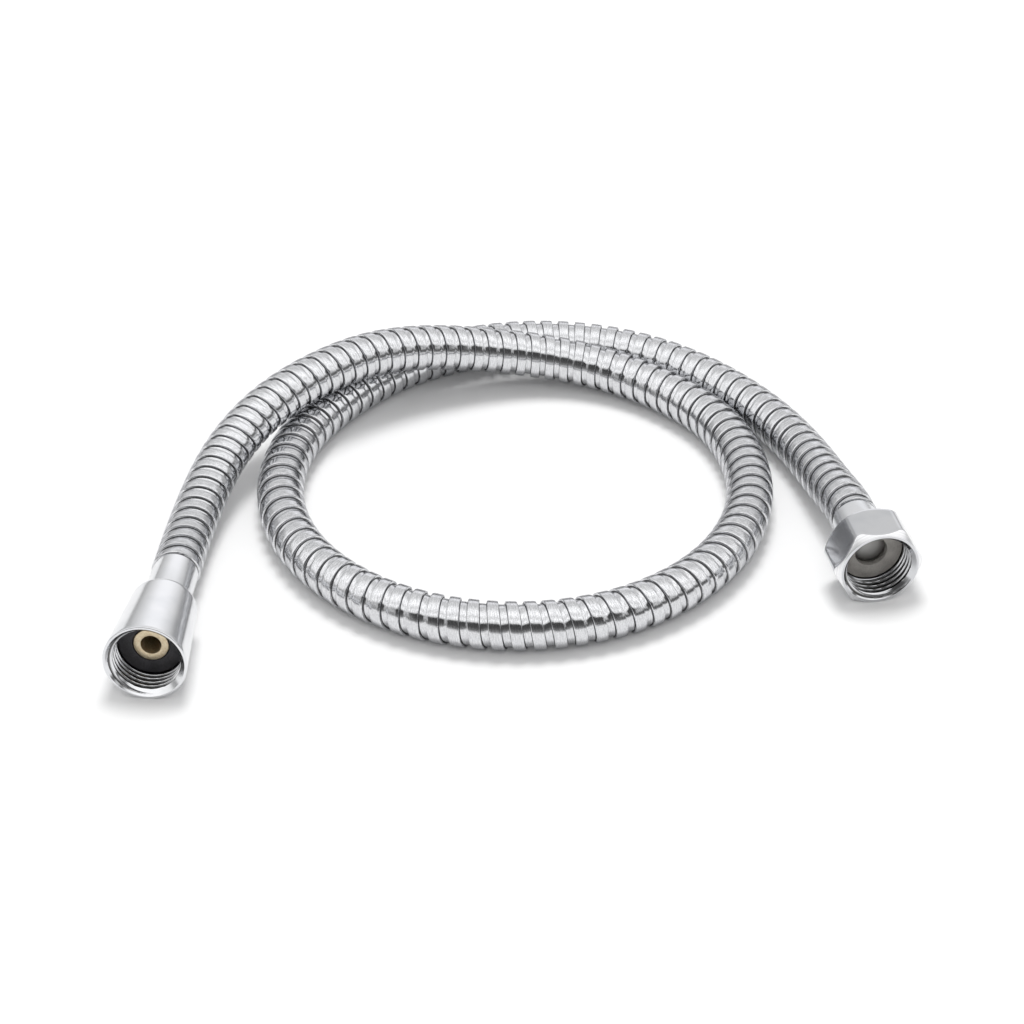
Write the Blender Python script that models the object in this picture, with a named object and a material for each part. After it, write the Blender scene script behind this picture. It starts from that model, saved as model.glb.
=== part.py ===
"""Flexible shower hose, lying in a loop of one and a half turns, with its two end fittings.

Units are metres and +Z is up. The floor is z = 0, and the origin lies under the middle of the
object. The camera side is -Y. The hose is a strip-wound casing around a plain inner tube. Each
end has a brass insert, a crimped ferrule, a sealing washer and a swivelling union nut: a
conical one on the left and a hexagonal one on the right, which also holds a strainer gauze.
"""

import math

import bmesh
import bpy
import numpy as np
from mathutils import Matrix, Vector

# Clearance between pieces that touch
GAP = 0.0003

# Hose
HOSE_DIAMETER = 0.0140
CASING_WALL = 0.0012
CASING_CLEARANCE = 0.0005
INNER_TUBE_WALL = 0.0012
HOSE_STRAIGHT_END = 0.0020
ROUTE_SAMPLES = 62
CASING_SIDES = 12
INNER_SIDES = 8

# Pipe thread of both nuts, G 1/2: its crests are the nuts' bores, and scene detail adds the turns
THREAD_MAJOR_DIAMETER = 0.02096
THREAD_MINOR_DIAMETER = 0.01863
MOUTH_CHAMFER_LENGTH = 0.0011
WASHER_DIAMETER = 0.0184
WASHER_POCKET_CLEARANCE = 0.0004

# Ferrules, the smooth sleeves crimped over the ends of the inner tube
FERRULE_WALL = 0.00105
FERRULE_EDGE = 0.0004

# Inserts, the barbed brass nipples inside the ferrules
INSERT_FLANGE_DIAMETER = 0.0168
INSERT_HUB_LENGTH = 0.0038
INSERT_BORE = 0.0052
BARB_HEIGHT = 0.0005
BARB_PITCH = 0.0030
BARB_COUNT = 4

# Conical nut, measured along its axis from the mouth
CONE_MOUTH_WALL = 0.00127
CONE_SHOULDER_WALL = 0.00265
CONE_SHOULDER_AT = 0.0280
CONE_REAR_LAND = 0.00015
CONE_RIM_ROUNDING = 0.0003
CONE_WASHER_AT = 0.0093
CONE_WASHER_THICKNESS = 0.0020
CONE_FLANGE_THICKNESS = 0.0020
CONE_NOSE_DIAMETER = 0.0098
CONE_NOSE_BORE = 0.0058
CONE_FERRULE_END = 0.0470

# Hexagonal nut, measured along its axis from the mouth
HEX_WALL = 0.00127
HEX_LENGTH = 0.0140
HEX_FACE_WALL = 0.00072
HEX_CHAMFER_ANGLE = math.radians(42)
HEX_WASHER_AT = 0.0088
HEX_WASHER_THICKNESS = 0.0018
HEX_WASHER_BORE = 0.0095
HEX_FLANGE_THICKNESS = 0.0014
HEX_FERRULE_END = 0.0257

# Strainer gauze in the hexagonal end
STRAINER_SEAT_DIAMETER = 0.0098
STRAINER_SEAT_DEPTH = 0.0010
STRAINER_THICKNESS = 0.0004
STRAINER_DOME = 0.0011

# Where the fittings lie: mouth centres on plan, and headings from +Y towards +X
CONE_MOUTH_X = -0.1032
CONE_MOUTH_Y = -0.0891
CONE_HEADING = math.radians(5.0)
HEX_MOUTH_X = 0.1021
HEX_MOUTH_Y = -0.0456
HEX_HEADING = math.radians(-11.5)

# Steps of the turned surfaces
NUT_STEPS = 48
FERRULE_STEPS = 32
INSERT_STEPS = 24
WASHER_STEPS = 32

# Centre line of the hose between its ends: it leaves the conical end on the floor, climbs over
# the loop at the back left, comes down inside it, goes once round the front, passes under
# its own first stretch and runs along the outside to the hexagonal end
ROUTE = [
    (-0.0973, -0.0241, 0.0075),
    (-0.0942, -0.0066, 0.0093),
    (-0.0886, 0.0109, 0.0132),
    (-0.0781, 0.0268, 0.0184),
    (-0.0622, 0.0423, 0.0214),
    (-0.0454, 0.0549, 0.0210),
    (-0.0307, 0.0621, 0.0187),
    (-0.0127, 0.0677, 0.0146),
    (0.0074, 0.0699, 0.0105),
    (0.0281, 0.0654, 0.0079),
    (0.0461, 0.0536, 0.0071),
    (0.0599, 0.0368, 0.0070),
    (0.0670, 0.0161, 0.0070),
    (0.0674, -0.0058, 0.0070),
    (0.0610, -0.0268, 0.0070),
    (0.0485, -0.0447, 0.0070),
    (0.0310, -0.0579, 0.0070),
    (0.0103, -0.0650, 0.0070),
    (-0.0116, -0.0654, 0.0070),
    (-0.0326, -0.0590, 0.0070),
    (-0.0505, -0.0465, 0.0070),
    (-0.0637, -0.0290, 0.0070),
    (-0.0708, -0.0083, 0.0070),
    (-0.0712, 0.0136, 0.0070),
    (-0.0648, 0.0346, 0.0070),
    (-0.0537, 0.0522, 0.0070),
    (-0.0399, 0.0669, 0.0070),
    (-0.0229, 0.0775, 0.0070),
    (-0.0033, 0.0833, 0.0070),
    (0.0178, 0.0830, 0.0070),
    (0.0383, 0.0764, 0.0070),
    (0.0562, 0.0641, 0.0070),
    (0.0710, 0.0477, 0.0070),
    (0.0807, 0.0320, 0.0071),
    (0.0873, 0.0159, 0.0078),
    (0.0925, -0.0029, 0.0102),
]

# Sizes that follow from the ones above
HOSE_RADIUS = HOSE_DIAMETER / 2
CASING_BORE_RADIUS = HOSE_RADIUS - CASING_WALL
INNER_TUBE_RADIUS = CASING_BORE_RADIUS - CASING_CLEARANCE
INNER_TUBE_BORE_RADIUS = INNER_TUBE_RADIUS - INNER_TUBE_WALL
HUB_RADIUS = INNER_TUBE_RADIUS
BARB_RADIUS = INNER_TUBE_BORE_RADIUS - GAP
FERRULE_BORE_RADIUS = INNER_TUBE_RADIUS + GAP
FERRULE_RADIUS = FERRULE_BORE_RADIUS + FERRULE_WALL
NUT_REAR_BORE_RADIUS = FERRULE_RADIUS + GAP
THREAD_MAJOR_RADIUS = THREAD_MAJOR_DIAMETER / 2
THREAD_MINOR_RADIUS = THREAD_MINOR_DIAMETER / 2
WASHER_RADIUS = WASHER_DIAMETER / 2
POCKET_RADIUS = WASHER_RADIUS + WASHER_POCKET_CLEARANCE
CONE_MOUTH_RADIUS = THREAD_MAJOR_RADIUS + CONE_MOUTH_WALL
CONE_SHOULDER_RADIUS = NUT_REAR_BORE_RADIUS + CONE_SHOULDER_WALL
CONE_TAPER = math.atan2(CONE_MOUTH_RADIUS - CONE_SHOULDER_RADIUS, CONE_SHOULDER_AT)
CONE_REAR_ROUNDING = (CONE_SHOULDER_WALL - CONE_REAR_LAND) / math.cos(CONE_TAPER)
CONE_WASHER_BORE = CONE_NOSE_DIAMETER + 2 * GAP
HEX_APOTHEM = THREAD_MAJOR_RADIUS + HEX_WALL
HEX_FACE_RADIUS = THREAD_MAJOR_RADIUS + HEX_FACE_WALL
CONE_FLANGE_AT = CONE_WASHER_AT + CONE_WASHER_THICKNESS + GAP
HEX_FLANGE_AT = HEX_WASHER_AT + HEX_WASHER_THICKNESS + GAP


def clear_scene():
    """Remove whatever the file holds."""
    for thing in list(bpy.data.objects):
        bpy.data.objects.remove(thing, do_unlink=True)


def material(name, colour, roughness, metallic):
    """A plain Principled material."""
    made = bpy.data.materials.new(name)
    made.use_nodes = True
    shader = made.node_tree.nodes["Principled BSDF"]
    shader.inputs["Base Color"].default_value = (*colour, 1.0)
    shader.inputs["Roughness"].default_value = roughness
    shader.inputs["Metallic"].default_value = metallic
    made.diffuse_color = (*colour, 1.0)
    return made


def chrome(name, roughness):
    """Bright plated metal."""
    return material(name, (0.78, 0.79, 0.81), roughness, 1.0)


def new_object(name, mesh, surface, parent=None):
    """Put a mesh in the scene under its parent, with its material and smooth round faces."""
    thing = bpy.data.objects.new(name, mesh)
    mesh.materials.clear()
    mesh.materials.append(surface)
    bpy.context.scene.collection.objects.link(thing)
    thing.parent = parent
    return thing


def smooth(mesh, angle=math.radians(35)):
    """Shade a mesh smooth, with its sharp edges kept."""
    mesh.shade_smooth()
    mesh.set_sharp_from_angle(angle=angle)


def fitting_empty(name, mouth, heading, tilt):
    """An empty at a nut's mouth whose +Z runs along the fitting, into the hose."""
    empty = bpy.data.objects.new(name, None)
    bpy.context.scene.collection.objects.link(empty)
    level = math.cos(tilt)
    along = Vector((math.sin(heading) * level, math.cos(heading) * level, math.sin(tilt)))
    side = Vector((math.cos(heading), -math.sin(heading), 0.0))
    turn = Matrix((side, along.cross(side), along)).transposed()
    empty.matrix_world = Matrix.Translation(mouth) @ turn.to_4x4()
    return empty


def point_along(empty, distance):
    """World position on a fitting's axis, at a distance from its mouth."""
    return empty.matrix_world @ Vector((0.0, 0.0, distance))


def arc(centre_r, centre_d, radius, start, end, steps):
    """Points (radius, distance) of a rounding, from one angle to another in degrees."""
    angles = np.radians(np.linspace(start, end, steps + 1))
    return [(centre_r + radius * math.cos(a), centre_d + radius * math.sin(a)) for a in angles]


def turned_mesh(name, profile, steps):
    """Turn a closed outline of (radius, distance) points around the fitting's axis."""
    work = bmesh.new()
    corners = [work.verts.new((r, 0.0, d)) for r, d in profile]
    edges = [work.edges.new((a, b)) for a, b in zip(corners, corners[1:] + corners[:1])]
    bmesh.ops.spin(work, geom=corners + edges, cent=(0, 0, 0), axis=(0, 0, 1),
                   angle=2 * math.pi, steps=steps, use_merge=True)
    bmesh.ops.remove_doubles(work, verts=work.verts, dist=1e-6)
    bmesh.ops.recalc_face_normals(work, faces=work.faces)
    mesh = bpy.data.meshes.new(name)
    work.to_mesh(mesh)
    work.free()
    smooth(mesh)
    return mesh


def socket_outline(washer_at, flange_at, flange_thickness):
    """The bore of a union nut, from its shoulder out to its mouth: pocket, thread and chamfer."""
    shoulder_at = flange_at + flange_thickness + GAP
    thread_end = washer_at - GAP
    runout = POCKET_RADIUS - THREAD_MINOR_RADIUS
    return [
        (NUT_REAR_BORE_RADIUS, shoulder_at),
        (POCKET_RADIUS, shoulder_at),
        (POCKET_RADIUS, thread_end),
        (THREAD_MINOR_RADIUS, thread_end - runout),
        (THREAD_MINOR_RADIUS, MOUTH_CHAMFER_LENGTH),
        (THREAD_MAJOR_RADIUS, 0.0),
    ]


def cone_nut(parent):
    """Conical union nut: tapered skirt, rounded rear shoulder, threaded socket."""
    rear_r = CONE_SHOULDER_RADIUS - CONE_REAR_ROUNDING * math.cos(CONE_TAPER)
    rear_d = CONE_SHOULDER_AT - CONE_REAR_ROUNDING * math.sin(CONE_TAPER)
    rear = arc(rear_r, rear_d, CONE_REAR_ROUNDING, math.degrees(CONE_TAPER), 90, 6)
    rear_at = rear[-1][1]
    rim_r = CONE_MOUTH_RADIUS - CONE_RIM_ROUNDING
    rim = arc(rim_r, CONE_RIM_ROUNDING, CONE_RIM_ROUNDING, -90, 0, 2)
    outline = socket_outline(CONE_WASHER_AT, CONE_FLANGE_AT, CONE_FLANGE_THICKNESS)
    outline += rim + rear
    outline += [(NUT_REAR_BORE_RADIUS, rear_at)]
    mesh = turned_mesh("cone_nut", outline, NUT_STEPS)
    return new_object("cone_nut", mesh, chrome("nut_chrome", 0.10), parent)


def hex_nut(parent):
    """Hexagonal union nut, turned from hexagonal bar with both ends chamfered."""
    corner = 2 * HEX_APOTHEM / math.sqrt(3)
    face = HEX_FACE_RADIUS
    chamfer = (corner - face) * math.tan(HEX_CHAMFER_ANGLE)
    margin = HOSE_RADIUS
    outline = socket_outline(HEX_WASHER_AT, HEX_FLANGE_AT, HEX_FLANGE_THICKNESS)
    outline += [
        (face, 0.0),
        (corner, chamfer),
        (corner + margin, chamfer),
        (corner + margin, HEX_LENGTH - chamfer),
        (corner, HEX_LENGTH - chamfer),
        (face, HEX_LENGTH),
        (NUT_REAR_BORE_RADIUS, HEX_LENGTH),
    ]
    mesh = turned_mesh("hex_nut", outline, NUT_STEPS)
    nut = new_object("hex_nut", mesh, chrome("hex_chrome", 0.10), parent)

    bar_mesh = bpy.data.meshes.new("hexagonal_bar")
    work = bmesh.new()
    made = bmesh.ops.create_cone(work, cap_ends=True, segments=6, radius1=corner, radius2=corner,
                                 depth=HEX_LENGTH + 2 * margin)
    flat_up = Matrix.Rotation(math.radians(30), 3, "Z")
    bmesh.ops.rotate(work, verts=made["verts"], cent=(0, 0, 0), matrix=flat_up)
    bmesh.ops.translate(work, verts=made["verts"], vec=(0, 0, HEX_LENGTH / 2))
    work.to_mesh(bar_mesh)
    work.free()
    bar = bpy.data.objects.new("hexagonal_bar", bar_mesh)
    bpy.context.scene.collection.objects.link(bar)
    bar.parent = parent
    bar.hide_render = True
    bar.display_type = "WIRE"
    cut = nut.modifiers.new("flats", "BOOLEAN")
    cut.operation = "INTERSECT"
    cut.solver = "EXACT"
    cut.object = bar
    return nut


def ferrule(name, parent, front, rear):
    """Crimped sleeve with softened edges, from behind the insert's flange to the casing."""
    outer = FERRULE_RADIUS
    bore = FERRULE_BORE_RADIUS
    edge = FERRULE_EDGE
    outline = [
        (bore, front),
        (outer - edge, front),
        (outer, front + edge),
        (outer, rear - edge),
        (outer - edge, rear),
        (bore, rear),
    ]
    mesh = turned_mesh(name, outline, FERRULE_STEPS)
    return new_object(name, mesh, chrome(name + "_chrome", 0.16), parent)


def barbs(start):
    """Saw-tooth outline of the insert's tail, from its hub to its tip."""
    points = []
    for i in range(BARB_COUNT):
        at = start + i * BARB_PITCH
        points += [(BARB_RADIUS, at), (BARB_RADIUS - BARB_HEIGHT, at + BARB_PITCH)]
    return points


def insert(name, parent, flange_at, flange_thickness, front):
    """Barbed nipple: a front outline, its flange, the hub in the ferrule and the barbed tail."""
    hub_end = flange_at + flange_thickness + INSERT_HUB_LENGTH
    tail = barbs(hub_end)
    tip = tail[-1][1]
    outline = front + [
        (INSERT_FLANGE_DIAMETER / 2, flange_at),
        (INSERT_FLANGE_DIAMETER / 2, flange_at + flange_thickness),
        (HUB_RADIUS, flange_at + flange_thickness),
        (HUB_RADIUS, hub_end),
    ]
    outline += tail + [(INSERT_BORE / 2, tip)]
    mesh = turned_mesh(name, outline, INSERT_STEPS)
    brass = material(name + "_brass", (0.72, 0.58, 0.36), 0.35, 1.0)
    return new_object(name, mesh, brass, parent)


def cone_insert(parent):
    """Insert whose nose passes through the washer, flush with its face."""
    nose = CONE_NOSE_DIAMETER / 2
    bore = CONE_NOSE_BORE / 2
    countersink = CONE_WASHER_THICKNESS
    front = [
        (INSERT_BORE / 2, CONE_WASHER_AT + countersink),
        (bore, CONE_WASHER_AT),
        (nose, CONE_WASHER_AT),
        (nose, CONE_FLANGE_AT),
    ]
    return insert("cone_insert", parent, CONE_FLANGE_AT, CONE_FLANGE_THICKNESS, front)


def hex_insert(parent):
    """Insert with a stepped seat in its flange for the strainer."""
    seat = STRAINER_SEAT_DIAMETER / 2
    front = [
        (INSERT_BORE / 2, HEX_FLANGE_AT + STRAINER_SEAT_DEPTH),
        (seat, HEX_FLANGE_AT + STRAINER_SEAT_DEPTH),
        (seat, HEX_FLANGE_AT),
    ]
    return insert("hex_insert", parent, HEX_FLANGE_AT, HEX_FLANGE_THICKNESS, front)


def washer(name, parent, at, thickness, bore, shade):
    """Flat rubber ring with slightly rounded edges, in a shade of grey."""
    outer = WASHER_RADIUS
    inner = bore / 2
    edge = thickness / 8
    outline = [
        (inner, at + edge),
        (inner + edge, at),
        (outer - edge, at),
        (outer, at + edge),
        (outer, at + thickness - edge),
        (outer - edge, at + thickness),
        (inner + edge, at + thickness),
        (inner, at + thickness - edge),
    ]
    mesh = turned_mesh(name, outline, WASHER_STEPS)
    rubber = material(name + "_rubber", (shade, shade, shade), 0.6, 0.0)
    return new_object(name, mesh, rubber, parent)


def strainer_gauze(parent):
    """Dished disc of fine wire cloth in the insert's seat, domed towards the mouth."""
    radius = STRAINER_SEAT_DIAMETER / 2 - GAP
    back = HEX_FLANGE_AT + STRAINER_SEAT_DEPTH - GAP
    rings = 6
    mesh = bpy.data.meshes.new("strainer_gauze")
    work = bmesh.new()
    made = bmesh.ops.create_circle(work, cap_ends=False, segments=INSERT_STEPS, radius=radius)
    loops = list({edge for vert in made["verts"] for edge in vert.link_edges})
    for i in range(1, rings):
        grown = bmesh.ops.extrude_edge_only(work, edges=loops)["geom"]
        verts = [g for g in grown if isinstance(g, bmesh.types.BMVert)]
        loops = [g for g in grown if isinstance(g, bmesh.types.BMEdge)]
        inner = radius * (1 - i / rings)
        for vert in verts:
            vert.co.xy = vert.co.xy.normalized() * inner
    bmesh.ops.contextual_create(work, geom=loops)
    for vert in work.verts:
        share = vert.co.xy.length / radius
        vert.co.z = back - STRAINER_THICKNESS - STRAINER_DOME * (1 - share * share)
    bmesh.ops.solidify(work, geom=work.faces[:], thickness=STRAINER_THICKNESS)
    bmesh.ops.recalc_face_normals(work, faces=work.faces)
    work.to_mesh(mesh)
    work.free()
    smooth(mesh)
    steel = material("gauze_steel", (0.45, 0.45, 0.44), 0.45, 1.0)
    return new_object("strainer_gauze", mesh, steel, parent)


def smooth_curve(points, start_direction, end_direction, samples):
    """Even samples of the cubic spline through the points with the given end directions.

    The slope m at each point is solved so that neighbouring cubics share their curvature:
    h1 m0 + 2 (h0 + h1) m1 + h0 m2 = 3 (h1 (p1 - p0) / h0 + h0 (p2 - p1) / h1).
    """
    p = np.array(points)
    h = np.linalg.norm(np.diff(p, axis=0), axis=1)
    count = len(p)
    matrix = np.eye(count)
    right = np.zeros((count, 3))
    right[0] = start_direction
    right[-1] = end_direction
    for i in range(1, count - 1):
        matrix[i, i - 1] = h[i]
        matrix[i, i] = 2 * (h[i - 1] + h[i])
        matrix[i, i + 1] = h[i - 1]
        right[i] = 3 * (h[i] * (p[i] - p[i - 1]) / h[i - 1] + h[i - 1] * (p[i + 1] - p[i]) / h[i])
    slope = np.linalg.solve(matrix, right)
    knots = np.concatenate([[0.0], np.cumsum(h)])

    def read(at):
        i = np.clip(np.searchsorted(knots, at, side="right") - 1, 0, count - 2)
        width = h[i][:, None]
        t = ((at - knots[i]) / h[i])[:, None]
        near = (2 * t**3 - 3 * t**2 + 1) * p[i] + (t**3 - 2 * t**2 + t) * width * slope[i]
        far = (3 * t**2 - 2 * t**3) * p[i + 1] + (t**3 - t**2) * width * slope[i + 1]
        return near + far

    fine = read(np.linspace(0.0, knots[-1], 40 * count))
    travelled = np.concatenate([[0.0], np.cumsum(np.linalg.norm(np.diff(fine, axis=0), axis=1))])
    even = np.linspace(0.0, travelled[-1], samples)
    return np.column_stack([np.interp(even, travelled, fine[:, k]) for k in range(3)])


def tube_mesh(name, points, radius, sides):
    """Mesh of a capped round tube along the points, made by a bevelled poly curve."""
    curve = bpy.data.curves.new(name, "CURVE")
    curve.dimensions = "3D"
    curve.bevel_depth = radius
    curve.bevel_resolution = (sides - 4) // 2
    curve.use_fill_caps = True
    spline = curve.splines.new("POLY")
    spline.points.add(len(points) - 1)
    for point, place in zip(spline.points, points):
        point.co = (*place, 1.0)
    guide = bpy.data.objects.new(name, curve)
    bpy.context.scene.collection.objects.link(guide)
    bpy.context.view_layer.update()
    mesh = bpy.data.meshes.new_from_object(guide.evaluated_get(bpy.context.evaluated_depsgraph_get()))
    bpy.data.objects.remove(guide, do_unlink=True)
    work = bmesh.new()
    work.from_mesh(mesh)
    bmesh.ops.remove_doubles(work, verts=work.verts, dist=1e-6)
    bmesh.ops.recalc_face_normals(work, faces=work.faces)
    work.to_mesh(mesh)
    work.free()
    smooth(mesh)
    return mesh


def hollow_tube(name, points, bore_points, radius, bore_radius, sides, surface):
    """Round tube along the points with a bore right through it."""
    body = new_object(name, tube_mesh(name, points, radius, sides), surface)
    bore_mesh = tube_mesh(name + "_bore", bore_points, bore_radius, INNER_SIDES)
    bore = bpy.data.objects.new(name + "_bore", bore_mesh)
    bpy.context.scene.collection.objects.link(bore)
    bore.hide_render = True
    bore.display_type = "WIRE"
    cut = body.modifiers.new("bore", "BOOLEAN")
    cut.operation = "DIFFERENCE"
    cut.solver = "EXACT"
    cut.object = bore
    return body


def carried_on(points, start_direction, end_direction, distance):
    """The same points with both ends carried on straight by a distance."""
    start = points[0] - start_direction * distance
    end = points[-1] + end_direction * distance
    return np.vstack([start, points, end])


def hose(cone_end, hex_end):
    """The strip-wound casing and the inner tube, both along the same centre line."""
    start = point_along(cone_end, CONE_FERRULE_END + GAP + HOSE_STRAIGHT_END)
    end = point_along(hex_end, HEX_FERRULE_END + GAP + HOSE_STRAIGHT_END)
    start_direction = np.array(point_along(cone_end, 1.0) - point_along(cone_end, 0.0))
    end_direction = np.array(point_along(hex_end, 0.0) - point_along(hex_end, 1.0))
    points = [tuple(start)] + ROUTE + [tuple(end)]
    curve = smooth_curve(points, start_direction, end_direction, ROUTE_SAMPLES)
    line = carried_on(curve, start_direction, end_direction, HOSE_STRAIGHT_END)
    cutter = carried_on(curve, start_direction, end_direction, 2 * HOSE_STRAIGHT_END)
    hollow_tube("hose_casing", line, cutter, HOSE_RADIUS, CASING_BORE_RADIUS, CASING_SIDES,
                chrome("casing_chrome", 0.18))

    hub_end_cone = CONE_FLANGE_AT + CONE_FLANGE_THICKNESS + INSERT_HUB_LENGTH
    hub_end_hex = HEX_FLANGE_AT + HEX_FLANGE_THICKNESS + INSERT_HUB_LENGTH
    first = np.array(point_along(cone_end, hub_end_cone + GAP))
    last = np.array(point_along(hex_end, hub_end_hex + GAP))
    inner_line = np.vstack([first, curve, last])
    inner_cutter = carried_on(inner_line, start_direction, end_direction, HOSE_STRAIGHT_END)
    rubber = material("inner_tube_rubber", (0.09, 0.09, 0.09), 0.7, 0.0)
    hollow_tube("inner_tube", inner_line, inner_cutter, INNER_TUBE_RADIUS, INNER_TUBE_BORE_RADIUS,
                INNER_SIDES, rubber)


def main():
    """Build both fittings where they lie, then the hose between them."""
    clear_scene()
    cone_height = CONE_MOUTH_RADIUS * math.cos(CONE_TAPER) + CONE_RIM_ROUNDING * math.sin(CONE_TAPER)
    cone_mouth = (CONE_MOUTH_X, CONE_MOUTH_Y, cone_height)
    cone_end = fitting_empty("cone_end", cone_mouth, CONE_HEADING, -CONE_TAPER)
    hex_end = fitting_empty("hex_end", (HEX_MOUTH_X, HEX_MOUTH_Y, HEX_APOTHEM), HEX_HEADING, 0.0)

    cone_nut(cone_end)
    cone_insert(cone_end)
    ferrule("cone_ferrule", cone_end, CONE_FLANGE_AT + CONE_FLANGE_THICKNESS + GAP, CONE_FERRULE_END)
    washer("cone_washer", cone_end, CONE_WASHER_AT, CONE_WASHER_THICKNESS, CONE_WASHER_BORE, 0.03)

    hex_nut(hex_end)
    hex_insert(hex_end)
    ferrule("hex_ferrule", hex_end, HEX_FLANGE_AT + HEX_FLANGE_THICKNESS + GAP, HEX_FERRULE_END)
    washer("hex_washer", hex_end, HEX_WASHER_AT, HEX_WASHER_THICKNESS, HEX_WASHER_BORE, 0.18)
    strainer_gauze(hex_end)

    hose(cone_end, hex_end)


main()
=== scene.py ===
"""Looks of the flexible shower hose: a chrome strip-wound hose with a conical and a hexagonal nut.

Sizes are in metres and +Z is up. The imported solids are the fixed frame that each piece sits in.
"""

import math

import bmesh
import bpy
import numpy as np
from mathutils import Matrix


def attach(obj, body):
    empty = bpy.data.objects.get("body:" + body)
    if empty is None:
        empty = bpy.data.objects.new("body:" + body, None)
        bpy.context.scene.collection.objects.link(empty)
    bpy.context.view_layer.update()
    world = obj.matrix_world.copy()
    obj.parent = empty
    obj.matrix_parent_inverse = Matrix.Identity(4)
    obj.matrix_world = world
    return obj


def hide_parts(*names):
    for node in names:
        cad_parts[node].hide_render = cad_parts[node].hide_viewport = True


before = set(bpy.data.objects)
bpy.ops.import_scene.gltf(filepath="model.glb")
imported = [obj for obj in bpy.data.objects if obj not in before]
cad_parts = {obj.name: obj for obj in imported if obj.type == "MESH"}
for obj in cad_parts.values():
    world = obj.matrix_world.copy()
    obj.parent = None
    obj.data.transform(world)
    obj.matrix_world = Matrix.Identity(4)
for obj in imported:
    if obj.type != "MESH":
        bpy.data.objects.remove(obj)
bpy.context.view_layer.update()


# The camera looks down on the loop from in front of it, from a stand at table height.
# A long lens keeps the near and far sides of the loop almost the same size.
CAMERA_PLACE = (-0.00282, -0.7505, 0.5273)
CAMERA_PITCH = math.radians(35.11)
CAMERA_LENS = 107.8
CAMERA_SENSOR = 36.0

camera_data = bpy.data.cameras.new("camera")
camera_data.lens = CAMERA_LENS
camera_data.sensor_width = CAMERA_SENSOR
camera_data.clip_start = 0.01
camera_data.clip_end = 20.0
camera = bpy.data.objects.new("camera", camera_data)
camera.location = CAMERA_PLACE
camera.rotation_euler = (math.pi / 2 - CAMERA_PITCH, 0.0, 0.0)
bpy.context.scene.collection.objects.link(camera)
bpy.context.scene.camera = camera


# The casing is the part of the hose that shows. A flat chrome-plated strip is rolled to a raised
# rib and a recessed band and wound round the inner tube, each turn hooked into the last one.
# It leaves the conical end, climbs over the loop, goes round once and ends at the hexagonal end.
HOSE_DIAMETER = 0.0140
CASING_BORE = 0.0116
STRAIGHT_END = 0.0020

# Columns round the hose, rings of its bore, points of its centre line and of its pitch's sum,
# and what lies this close is one point
CASING_STEPS = 40
BORE_RINGS = 110
LINE_POINTS = 6000
PITCH_SAMPLES = 2000
MERGE_DISTANCE = 1e-6

# Plating on and between its fine streaks, and the tint of what it returns at a grazing angle
CASING_BRIGHT = (0.79, 0.795, 0.81)
CASING_DULL = (0.54, 0.545, 0.56)
CASING_EDGE = (0.52, 0.52, 0.53, 1.0)

# Painted shade of the seam's gap at each wall of a rib: shares of the pitch from the band's middle
SEAM_SHADE_COLOUR = (0.12, 0.12, 0.123)
SEAM_STARTS = (0.166, 0.178)
SEAM_ENDS = (0.1935, 0.197)

# Length of one turn, which bending pulls apart or pushes together: share of the hose, and pitch
STRIP_PITCH = np.array([
    (0.00, 0.0051), (0.08, 0.0043), (0.17, 0.0049), (0.34, 0.0051), (0.44, 0.0055), (0.56, 0.0055),
    (0.62, 0.0058), (0.68, 0.0054), (0.78, 0.0052), (1.00, 0.0051),
])

# Across one turn of the strip: share of the pitch from the rib's middle, and depth under the rib
STRIP_SECTION = np.array([
    (0.000, 0.00000), (0.140, 0.00001), (0.262, 0.00002), (0.288, 0.00008), (0.301, 0.00024),
    (0.308, 0.00090), (0.330, 0.00098), (0.500, 0.00096), (0.670, 0.00098), (0.692, 0.00090),
    (0.699, 0.00024), (0.712, 0.00008), (0.738, 0.00002), (0.860, 0.00001),
])

# Points that the hose's centre line passes through, from the conical to the hexagonal end
HOSE_ROUTE = np.array([
    (-0.0973, -0.0241, 0.0075), (-0.0942, -0.0066, 0.0093), (-0.0886, 0.0109, 0.0132),
    (-0.0781, 0.0268, 0.0184), (-0.0622, 0.0423, 0.0214), (-0.0454, 0.0549, 0.0210),
    (-0.0307, 0.0621, 0.0187), (-0.0127, 0.0677, 0.0146), (0.0074, 0.0699, 0.0105),
    (0.0281, 0.0654, 0.0079), (0.0461, 0.0536, 0.0071), (0.0599, 0.0368, 0.0070),
    (0.0670, 0.0161, 0.0070), (0.0674, -0.0058, 0.0070), (0.0610, -0.0268, 0.0070),
    (0.0485, -0.0447, 0.0070), (0.0310, -0.0579, 0.0070), (0.0103, -0.0650, 0.0070),
    (-0.0116, -0.0654, 0.0070), (-0.0326, -0.0590, 0.0070), (-0.0505, -0.0465, 0.0070),
    (-0.0637, -0.0290, 0.0070), (-0.0708, -0.0083, 0.0070), (-0.0712, 0.0136, 0.0070),
    (-0.0648, 0.0346, 0.0070), (-0.0537, 0.0522, 0.0070), (-0.0399, 0.0669, 0.0070),
    (-0.0229, 0.0775, 0.0070), (-0.0033, 0.0833, 0.0070), (0.0178, 0.0830, 0.0070),
    (0.0383, 0.0764, 0.0070), (0.0562, 0.0641, 0.0070), (0.0710, 0.0477, 0.0070),
    (0.0807, 0.0320, 0.0071), (0.0873, 0.0159, 0.0078), (0.0925, -0.0029, 0.0102),
])

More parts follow.
